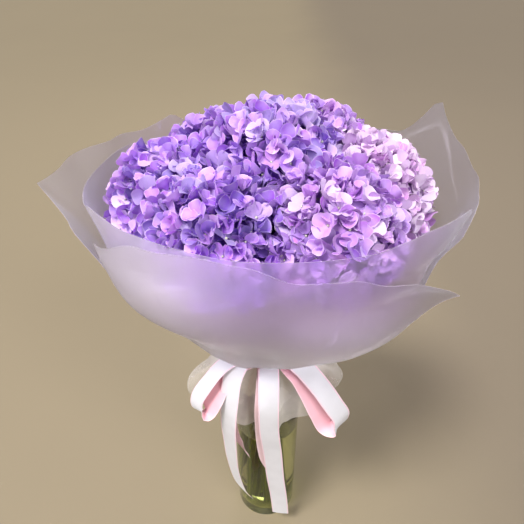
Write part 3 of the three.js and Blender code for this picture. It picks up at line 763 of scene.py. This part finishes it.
def collarPiece(rows=26, columns=180):
    azimuths = [360 * c / columns for c in range(columns)]
    top = filmSize["neckTop"] - collar["belowTie"]
    points = [[polar(collar["radius"], azimuth, top) for azimuth in azimuths]]
    points += [[collarPlace(azimuth, r / rows) for azimuth in azimuths] for r in range(rows + 1)]
    piece = gridPiece("clear_collar_film", np.array(points), closed=True)
    faceOut(piece)
    print("collar flat area", round(areaOf(piece), 4))
    giveMaterials(piece, clearFilm)
    smooth(piece, 60)
    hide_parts("clear_collar")


collarPiece()
print("film ready")


# seven heads, one in the middle and six in a ring round it, each on its stem
headRing = {"centre": (3, 8), "halfWidth": 98, "halfDepth": 82, "height": 572, "turn": 2}
heads = [{"node": "hydrangea_centre", "centre": (4, 14, 607), "radius": (70, 68)}]
for i, side in enumerate(["right", "back_right", "back_left", "left", "front_left", "front_right"]):
    turn = math.radians(headRing["turn"] + 60 * i)
    x = headRing["centre"][0] + headRing["halfWidth"] * math.cos(turn)
    y = headRing["centre"][1] + headRing["halfDepth"] * math.sin(turn)
    heads.append({"node": "hydrangea_" + side, "centre": (x, y, headRing["height"]), "radius": (68, 62)})
# how far each bloom has settled from the middle of its head
settled = [(0, 0, -9), (-4, 0, -3), (0, 0, 5), (2, 0, -3), (2, 0, -7), (0, 0, -2), (0, 0, 0)]
for head, moved in zip(heads, settled):
    head["bloom"] = np.array(head["centre"]) + np.array(moved)
tieHeight = 369
stemSize = {"radius": 3.7, "taper": 0.12, "ribs": 0.04, "joints": 3, "jointLength": 0.012,
            "jointSwell": 0.05, "ringRadius": 8.2, "footRing": 21, "footCentre": (-9, 2), "footLift": 0.3,
            "steps": 60, "sides": 20}


def stemRoute(head, index):
    # the middle stem runs straight up, and the others cross in a spiral at the tie
    x, y, z = head["centre"]
    footX, footY = stemSize["footCentre"]
    ground = vaseSize["floor"] + stemSize["footLift"]
    if index == 0:
        return [[footX, footY, ground], [0, 0, tieHeight - 30], [0, 0, tieHeight + 25],
                [x / 2, y / 2, 480], [x, y, z - 34]]
    tieAngle = math.degrees(math.atan2(y, x))
    foot = polar(stemSize["footRing"], tieAngle + 62, ground)
    return [foot + np.array([footX, footY, 0]),
            polar(stemSize["ringRadius"], tieAngle + 4, tieHeight - 22),
            polar(stemSize["ringRadius"], tieAngle - 3, tieHeight + 20),
            polar(24, tieAngle - 8, 436),
            [x * 0.64, y * 0.64, 494], [x * 0.88, y * 0.88, 538]]


def stemPiece(head, index, draw):
    # rings up the route, a little thicker at the joints where leaves grew
    steps, sides = stemSize["steps"], stemSize["sides"]
    line, tangents = smoothLine(stemRoute(head, index), steps)
    joints = [draw.uniform(0.1, 0.9) for _ in range(stemSize["joints"])]
    turns = [tau * k / sides for k in range(sides)]
    rings = []
    side = np.array([1.0, 0, 0])
    for i, (centre, tangent) in enumerate(zip(line, tangents)):
        side = side - tangent * side.dot(tangent)
        side /= np.linalg.norm(side)
        up = np.cross(tangent, side)
        share = i / steps
        swell = sum(math.exp(-((share - joint) / stemSize["jointLength"]) ** 2) for joint in joints)
        radius = stemSize["radius"] * (1 - stemSize["taper"] * share)
        radius *= 1 + stemSize["jointSwell"] * min(swell, 1)
        ring = []
        for t in turns:
            rib = 1 + stemSize["ribs"] * math.cos(5 * t)
            ring.append(centre + radius * rib * (side * math.cos(t) + up * math.sin(t)))
        rings.append(ring)
    piece = gridPiece(f"stem_{index + 1}_stalk", np.array(rings), closed=True)
    faceOut(piece, sides + 10)
    smooth(piece, 60)
    giveMaterials(piece, stemGreen)
    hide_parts(f"stem_{index + 1}")


draw = random.Random(7)
for i, head in enumerate(heads):
    stemPiece(head, i, draw)
print("stems ready")


# one sepal, and a floret of four of them
sepal = {"length": 15.5, "width": 16, "rows": 4, "columns": 4, "rowWidths": (0.12, 0.68, 0.96, 1.0, 0.74)}
floretSize = {"sepalOut": 0.8, "over": 0.5, "under": -0.3, "beadRadius": 1.4, "beadHeight": 1.0}
# each kind's share among the florets, and how far its four sepals are lifted
floretKinds = {"open": (4, (12, 20, 8, 24)), "cupped": (4, (46, 34, 52, 38)),
               "closed": (3, (66, 54, 72, 50)), "flat": (2, (2, -6, 8, -2))}


def sepalPiece():
    # a flat grid whose rows are narrowed, whose tip is rounded and whose edges are lifted
    deselectAll()
    bpy.ops.mesh.primitive_grid_add(x_subdivisions=sepal["columns"], y_subdivisions=sepal["rows"], size=2)
    piece = named("sepal")
    length, half = sepal["length"] * mm, sepal["width"] / 2 * mm
    piece.scale = (half, length / 2, 1)
    piece.location = (0, length / 2, 0)
    applyPlace(piece)
    bpy.ops.object.mode_set(mode="EDIT")
    for row, width in enumerate(sepal["rowWidths"]):
        at = length * row / sepal["rows"]
        selectVerts(piece, lambda co: abs(co.y - at) < 1e-5)
        bpy.ops.transform.resize(value=(width, 1, 1), center_override=(0, at, 0))
    # the tip's corners come back, so that the end is round
    for side, back in ((0.6, 0.13), (0.2, 0.03)):
        selectVerts(piece, lambda co: co.y > 0.98 * length and abs(co.x) > side * half)
        bpy.ops.transform.translate(value=(0, -back * length, 0))
    # the sides rise into a cup with a waved rim, the midrib sinks and the tip rolls back
    for low, high, lift in ((0.6, 2, 0.17), (0.3, 0.6, 0.05), (-1, 0.1, -0.02)):
        selectVerts(piece, lambda co: co.y > 0.1 * length and low * half < abs(co.x) < high * half)
        bpy.ops.transform.translate(value=(0, 0, lift * length))
    selectVerts(piece, lambda co: co.x > 0.6 * half and 0.45 * length < co.y < 0.8 * length)
    bpy.ops.transform.translate(value=(0, 0, -0.07 * length))
    selectVerts(piece, lambda co: co.y > 0.8 * length)
    bpy.ops.transform.translate(value=(0, 0, -0.06 * length))
    bpy.ops.mesh.select_all(action="SELECT")
    bpy.ops.mesh.vertices_smooth(factor=0.35)
    bpy.ops.mesh.select_all(action="DESELECT")
    bpy.ops.object.mode_set(mode="OBJECT")
    return piece


def copied(piece):
    copy = piece.copy()
    copy.data = piece.data.copy()
    scene.collection.objects.link(copy)
    return copy


def floretPiece(name, lifts, material):
    # four sepals, two over two, round a small bead
    base = sepalPiece()
    parts = []
    for k, lift in enumerate(lifts):
        part = copied(base)
        level = floretSize["over"] if k % 2 else floretSize["under"]
        shift = Matrix.Translation((0, floretSize["sepalOut"] * mm, level * mm))
        turn = Matrix.Rotation(tau * k / len(lifts), 4, "Z")
        part.data.transform(turn @ shift @ Matrix.Rotation(math.radians(lift), 4, "X"))
        parts.append(part)
    bpy.data.objects.remove(base)
    floret = joined(parts, name)
    floret.data.materials.clear()
    giveMaterials(floret, material, budCream)
    bpy.ops.mesh.primitive_ico_sphere_add(subdivisions=1, radius=floretSize["beadRadius"] * mm,
                                          location=(0, 0, floretSize["beadHeight"] * mm))
    bead = named("bead")
    applyPlace(bead)
    giveMaterials(bead, material, budCream)
    bead.data.polygons.foreach_set("material_index", [1] * len(bead.data.polygons))
    floret = joined([floret, bead], name)
    pick(floret)
    bpy.ops.object.shade_smooth()
    return floret


# the heads press against the film, and their florets cover a core
press = {"turnStep": 3, "low": 380, "high": 660, "rise": 4, "gap": 1.6, "leastRim": 0.94, "samples": 30}
headSize = {
    "layers": {"outer": (290, 9), "inner": (160, 19)},  # how many florets, and how deep they sit
    "coreInset": 17, "lowest": -0.68, "goldenTurn": 2.39996, "layerTurn": 2, "shift": 2.5, "depthShift": 3,
    "past": 3, "lean": 1.1, "blend": 9, "valley": 12, "reach": (20.0, 110.0), "reachSteps": 12,
}
# beadPoints is how many of a floret's points, its last ones, are its bead's
floretLook = {"size": (0.78, 1.08), "sepalTurn": 17, "curl": (-0.013, 0.018), "ripple": 0.55,
              "beadPoints": 12}
# each head's petals, their slot, their middle hue and their share of pale florets
headLook = {
    "hydrangea_centre": ("petalLavender", "petal_lavender", 0.38, 0.10),
    "hydrangea_right": ("petalBlush", "petal_blush", 0.58, 0.36),
    "hydrangea_back_right": ("petalLilac", "petal_lilac", 0.37, 0.15),
    "hydrangea_back_left": ("petalLavender", "petal_lavender", 0.42, 0.18),
    "hydrangea_left": ("petalViolet", "petal_violet", 0.42, 0.12),
    "hydrangea_front_left": ("petalViolet", "petal_violet", 0.42, 0.09),
    "hydrangea_front_right": ("petalLilac", "petal_lilac", 0.36, 0.14),
}
# the ranges that paleness and the painted shade of depth are drawn from; crown is the level it starts at
# and its least paleness
tints = {"hueSpread": 0.35, "pale": (0.4, 0.95), "plain": (0, 0.25), "crown": (0.8, 0.05, 0.6),
         "innerShade": (0.5, 0.85), "outerShade": (0, 0.55), "outerPower": 1.2, "valleyShade": 0.06}


def wrapLimits():
    # how far out the film is at each azimuth and height
    azimuths = np.arange(0, 360, float(press["turnStep"]))
    heights = np.arange(press["low"], press["high"], float(press["rise"]))
    limits = np.full((len(azimuths), len(heights)), 1e3)
    front = sheets["film_front_inner"]
    for i, azimuth in enumerate(azimuths):
        reach = between(front["rim"], azimuth) if front["from"] <= azimuth <= front["to"] else 0
        shares = np.linspace(0, max(reach, press["leastRim"]), press["samples"])
        profile = np.array([wrapProfile(azimuth, share) for share in shares])
        low = heights <= profile[-1, 1]
        limits[i, low] = np.interp(heights[low], profile[:, 1], profile[:, 0]) - press["gap"]
    return limits


pressLimits = wrapLimits()


def pressed(points):
    # points in millimetres, drawn in where they would go through the film
    radius = np.hypot(points[:, 0], points[:, 1])
    azimuth = np.degrees(np.arctan2(points[:, 1], points[:, 0])) % 360
    column = np.round(azimuth / press["turnStep"]).astype(int) % len(pressLimits)
    row = np.round((points[:, 2] - press["low"]) / press["rise"]).astype(int)
    row = np.clip(row, 0, pressLimits.shape[1] - 1)
    share = np.minimum(1, pressLimits[column, row] / np.maximum(radius, 1))
    points[:, 0] *= share
    points[:, 1] *= share
    return points


def domeReach(head, outward, inset):
    # how far out of the head's middle the flowers' surface is, with the valleys between heads filled
    low, high = headSize["reach"]
    for _ in range(headSize["reachSteps"]):
        reach = (low + high) / 2
        place = head["bloom"] + outward * reach
        total = 0
        for other in heads:
            across, up = (radius - inset for radius in other["radius"])
            gap = (place - other["bloom"]) / np.array([across, across, up])
            total += math.exp(-(np.linalg.norm(gap) - 1) * up / headSize["blend"])
        if total > 1:
            low = reach
        else:
            high = reach
    return low


def grown(kinds, outward, draw):
    # a copy of one kind of floret, whose sepals are lifted, curled and rippled in its own way
    facing = Vector(outward) + Vector([draw.uniform(-1, 1) for _ in range(3)]) * headSize["lean"]
    turnTo = Vector((0, 0, 1)).rotation_difference(facing.normalized())
    size = draw.uniform(*floretLook["size"])
    copy = copied(draw.choices(kinds, [share for share, _ in floretKinds.values()])[0])
    points = pointsOf(copy)
    each = (len(points) - floretLook["beadPoints"]) // 4
    for k in range(4):
        petal = points[k * each:(k + 1) * each]
        away = Vector(petal.mean(axis=0) * (1, 1, 0)).normalized()
        turn = math.radians(draw.gauss(0, floretLook["sepalTurn"]))
        points[k * each:(k + 1) * each] = petal @ np.array(Matrix.Rotation(turn, 3, (away.y, -away.x, 0))).T
    a, b, c = (draw.uniform(*floretLook["curl"]) for _ in range(3))
    ripple = np.array([draw.gauss(0, floretLook["ripple"]) for _ in points])
    points[:, 2] += ripple * (np.hypot(points[:, 0], points[:, 1]) / sepal["length"]) ** 2
    points[:, 2] += a * points[:, 0] ** 2 + b * points[:, 1] ** 2 + c * points[:, 0] * points[:, 1]
    spin = np.array((turnTo @ Quaternion((0, 0, 1), draw.uniform(0, tau))).to_matrix())
    return copy, (points * size) @ spin.T


def tintOf(head, layer, level, toValley, draw):
    # a floret's hue, paleness and painted shade: paler on the crown, darkened with painted shade inside the
    # head and in the valleys between heads
    hueMiddle, paleShare = headLook[head["node"]][2:]
    hue = min(1, max(0, draw.gauss(hueMiddle, tints["hueSpread"])))
    pale = draw.uniform(*tints["pale"]) if draw.random() < paleShare else draw.uniform(*tints["plain"])
    crownFrom, crownLow, crownHigh = tints["crown"]
    if head["node"] == "hydrangea_centre" and level > crownFrom:
        pale = max(pale, draw.uniform(crownLow, crownHigh))
    if layer == "inner":
        paintedShade = draw.uniform(*tints["innerShade"])
    else:
        paintedShade = draw.uniform(*tints["outerShade"]) ** tints["outerPower"]
    paintedShade *= 1 - paleShare
    # more painted shade where the floret is near a valley between heads
    paintedShade += tints["valleyShade"] * (1 - 2 * paleShare) * math.exp(-max(0, toValley) / headSize["valley"])
    return [hue, pale, paintedShade, 1]


def corePiece(head, material):
    # the shaded mass under the florets
    across, up = (radius - headSize["coreInset"] for radius in head["radius"])
    bpy.ops.mesh.primitive_ico_sphere_add(subdivisions=3, radius=1)
    core = named("core")
    core.scale = (across * mm, across * mm, up * mm)
    core.location = head["bloom"] * mm
    applyPlace(core)
    movePoints(core, pressed(pointsOf(core)))
    giveMaterials(core, material, budCream, coreShade)
    core.data.polygons.foreach_set("material_index", [2] * len(core.data.polygons))
    return core


def headPiece(head, index):
    petal, slot = headLook[head["node"]][:2]
    draw = random.Random(100 + index)
    kinds = [
        floretPiece("floret_" + kind, lifts, petals[petal]) for kind, (_, lifts) in floretKinds.items()]
    centre = head["bloom"]
    others = [other for other in heads if other is not head]
    florets = []
    for layer, (count, inset) in headSize["layers"].items():
        for i in range(count):
            # the florets go round in a spiral from the top to the lowest level
            level = 1 - (1 - headSize["lowest"]) * (i + 0.5) / count
            turn = i * headSize["goldenTurn"] + index + (headSize["layerTurn"] if layer == "inner" else 0)
            flat = math.sqrt(max(0, 1 - level * level))
            outward = np.array([flat * math.cos(turn), flat * math.sin(turn), level])
            depth = inset + draw.uniform(-headSize["depthShift"], headSize["depthShift"])
            place = centre + outward * domeReach(head, outward, depth)
            place += np.array([draw.uniform(-headSize["shift"], headSize["shift"]) for _ in range(3)])
            own = np.linalg.norm(place - centre)
            nearest = min(np.linalg.norm(place - other["bloom"]) for other in others)
            if nearest < own - headSize["past"]:
                continue
            copy, points = grown(kinds, outward, draw)
            movePoints(copy, pressed(points + place))
            tint = copy.data.color_attributes.new("tint", "FLOAT_COLOR", "POINT")
            colour = tintOf(head, layer, level, nearest - own, draw)
            tint.data.foreach_set("color", colour * len(copy.data.vertices))
            florets.append(copy)
    for kind in kinds:
        bpy.data.objects.remove(kind)
    piece = joined([corePiece(head, petals[petal])] + florets, head["node"] + "_bloom")
    pick(piece)
    bpy.ops.object.shade_smooth()
    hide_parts(head["node"])
    print(head["node"], len(florets), "florets")


for i, head in enumerate(heads):
    headPiece(head, i)
print("heads ready")


# the tie and its ribbons; the width is in metres, as a flat size is
ribbonSize = {"width": 0.025, "thickness": 0.35, "curl": 0.6, "columns": 8}
# each node's two faces, its slot and the band that its ribbons hang from
ribbonLook = {
    "ribbon_pink": (ribbonBlush, ribbonBlush, "pink_ribbon", "pink_band"),
    "ribbon_bow": (ribbonFace, ribbonBack, "white_ribbon", "white_band"),
}


def ribbonStrip(name, stations, width, steps):
    # a strip along a smooth line; stations are (x, y, z, turn, tilt) in millimetres and degrees
    line, tangents = smoothLine(stations, steps)
    columns = ribbonSize["columns"]
    rows = []
    for i, (centre, tangent) in enumerate(zip(line, tangents)):
        share = i / steps
        along = share * (len(stations) - 1)
        k = min(int(along), len(stations) - 2)
        lean = [stations[k][j] + (stations[k + 1][j] - stations[k][j]) * (along - k) for j in (3, 4)]
        turn, tilt = (math.radians(value) for value in lean)
        level = math.cos(tilt)
        across = np.array([math.cos(turn) * level, -math.sin(turn) * level, math.sin(tilt)])
        across = across - tangent * across.dot(tangent)
        across /= np.linalg.norm(across)
        normal = np.cross(across, tangent)
        wide = between(width, share)
        row = []
        for c in range(columns + 1):
            side = 0.5 - c / columns
            sunk = ribbonSize["curl"] * math.cos(math.pi * side)
            row.append(centre + across * wide * side - normal * sunk)
        rows.append(row)
    return gridPiece(name, np.array(rows))


def ribbonPiece(piece, node):
    # gives a flat strip its thickness, its two faces and its place on the object
    face, back, slot, _ = ribbonLook[node]
    length = areaOf(piece) / ribbonSize["width"]
    giveMaterials(piece, face, back)
    applyModifier(piece, "SOLIDIFY", thickness=ribbonSize["thickness"] * mm, offset=0,
                  material_offset=1, material_offset_rim=0)
    smooth(piece, 50)
    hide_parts(node)
    print(piece.name, "is", round(length, 3), "m long")


def runRound(piece):
    # swaps the UV map's directions, so that the ribbon's length runs round the piece
    layer = piece.data.uv_layers.active
    layer.name = "UVMap"
    places = np.empty(len(layer.data) * 2)
    layer.data.foreach_get("uv", places)
    layer.data.foreach_set("uv", places.reshape(-1, 2)[:, ::-1].ravel())


# each band's node, radius, lower and upper edge from the tie's height, and what it rests on
bands = {"pink_band": ("ribbon_pink", 20.1, -11, 6, "clear_collar_film"),
         "white_band": ("ribbon_bow", 21.6, -6, 6, "pink_band")}
crinkle = {"at": (0.25, 0.5, 0.75), "half": 1.4, "swell": 1.008}


def bandPiece(name, radius, low, high):
    # an open ring, crinkled where the ribbon is pulled tight
    deselectAll()
    bpy.ops.mesh.primitive_cylinder_add(vertices=72, radius=radius * mm, depth=(high - low) * mm,
                                        end_fill_type="NOTHING", location=(0, 0, (low + high) / 2 * mm))
    piece = named(name)
    applyPlace(piece)
    bpy.ops.object.mode_set(mode="EDIT")
    bpy.ops.mesh.select_all(action="SELECT")
    bpy.ops.mesh.subdivide(number_cuts=5)
    for share in crinkle["at"]:
        at = (low + (high - low) * share) * mm
        selectVerts(piece, lambda co: abs(co.z - at) < crinkle["half"] * mm)
        bpy.ops.transform.resize(value=(crinkle["swell"], crinkle["swell"], 1), center_override=(0, 0, at))
    bpy.ops.mesh.select_all(action="DESELECT")
    bpy.ops.object.mode_set(mode="OBJECT")
    runRound(piece)
    return piece


for name, (node, radius, low, high, rests) in bands.items():
    ribbonPiece(bandPiece(name, radius, tieHeight + low, tieHeight + high), node)

fullWidth = [[0, 10], [0.07, 25], [1, 25]]
loopWidth = [[0, 11], [0.08, 25], [0.92, 25], [1, 11]]
# each ribbon's node, steps, width along it, and stations
ribbons = {
    "pink_tail_left": ("ribbon_pink", 60, [[0, 8], [0.1, 21], [0.82, 20], [0.93, 13], [1, 5]], [
        [-7.6, -18.8, 359, 22, 0], [-25, -29, 364, 26, 0], [-39, -41, 352, 30, 0], [-45, -53, 322, 38, 0],
        [-46, -58, 276, 40, 0], [-40, -57, 236, 32, 0], [-24, -59, 198, 70, 0]]),
    "pink_tail_centre": ("ribbon_pink", 60, [[0, 8], [0.1, 24], [0.9, 24], [1, 10, 1]], [
        [0, -20.2, 359, 0, 0], [-1, -36, 355.5, 0, 0], [-2, -53, 346, 0, 0], [-4, -65, 322, -4, 0],
        [-4, -66, 284, -3, 0], [-2, -61.5, 230, 0, 0], [5, -57, 160, 6, 0]]),
    "bow_loop_right": ("ribbon_bow", 90, loopWidth, [
        [6, -31, 372, -60, 0], [20, -39, 380, -40, 4], [36, -48, 378, -30, 10], [60, -59, 353, -30, 30],
        [80, -66, 322, -34, 32], [92, -67, 297, -36, 27], [88, -67, 279, -36, 22], [76, -65, 278, -36, 22],
        [62, -62, 306, -36, 22], [48, -55, 338, -32, 14], [34, -47, 360, -34, 8], [8, -31, 366, -40, 0]]),
    "bow_loop_left": ("ribbon_bow", 90, loopWidth, [
        [-6, -31, 372, 70, 0], [-18, -34, 379, 68, 3], [-34, -39, 380, 64, 6], [-54, -46, 371, 60, 12],
        [-72, -54, 350, 56, 14], [-86, -60, 326, 50, 14], [-86, -64, 313, 42, 14], [-77, -66, 309, 34, 14],
        [-65, -62, 328, 28, 14], [-55, -53, 349, 25, 12], [-30, -40, 368, 60, 4], [-6, -31, 366, 65, 0]]),
    "bow_tail_left": ("ribbon_bow", 80, fullWidth, [
        [-5, -32, 368, 40, 0], [-18, -39, 378, 32, 0], [-32, -48, 380, 28, 0], [-41, -57, 366, 28, 0],
        [-46, -67, 334, 30, 0], [-49, -70, 290, 38, 0], [-49, -66, 237, 44, 0], [-47, -61, 177, 48, 0],
        [-37, -60, 118, 47, 0], [-27, -60, 99, 46, 0]]),
    "bow_tail_centre": ("ribbon_bow", 80, fullWidth, [
        [1, -33, 366, 0, 0], [1, -58, 359, 0, 0], [1, -72, 330, -2, 0], [2, -73, 280, -2, 0],
        [7, -68, 220, 2, 0], [12, -63, 150, 6, 0], [18, -59, 88, 8, 0], [22, -56, 33, 8, 0]]),
}
for name, (node, steps, width, stations) in ribbons.items():
    ribbonPiece(ribbonStrip(name, stations, width, steps), node)

knot = {"out": 29.5, "wide": 13, "paintedShade": 8, "high": 8.2, "half": 1.2,
        "waist": ((0, 0.86), (4, 0.93), (-4, 0.93), (8, 1.06), (-8, 1.06))}


def knotPiece():
    # a ball pulled wide, waisted in the middle and swollen beside it
    deselectAll()
    middle = (0, -knot["out"] * mm, tieHeight * mm)
    bpy.ops.mesh.primitive_uv_sphere_add(segments=40, ring_count=20, radius=1)
    piece = named("bow_knot")
    piece.rotation_euler = (0, math.pi / 2, 0)
    piece.scale = (knot["high"] * mm, knot["paintedShade"] * mm, knot["wide"] * mm)
    piece.location = middle
    applyPlace(piece)
    bpy.ops.object.mode_set(mode="EDIT")
    for at, scale in knot["waist"]:
        selectVerts(piece, lambda co: abs(co.x - at * mm) < knot["half"] * mm)
        bpy.ops.transform.resize(value=(1, scale, scale), center_override=middle)
    bpy.ops.mesh.select_all(action="DESELECT")
    bpy.ops.object.mode_set(mode="OBJECT")
    bpy.ops.object.shade_smooth()
    runRound(piece)
    giveMaterials(piece, ribbonFace)
    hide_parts("ribbon_bow")


knotPiece()
print("ribbons ready")


# all pieces ride on the one body
for piece in list(scene.objects):
    if piece.type == "MESH" and piece is not floor and piece.name not in frame["nodes"]:
        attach(piece, "root")

deselectAll()
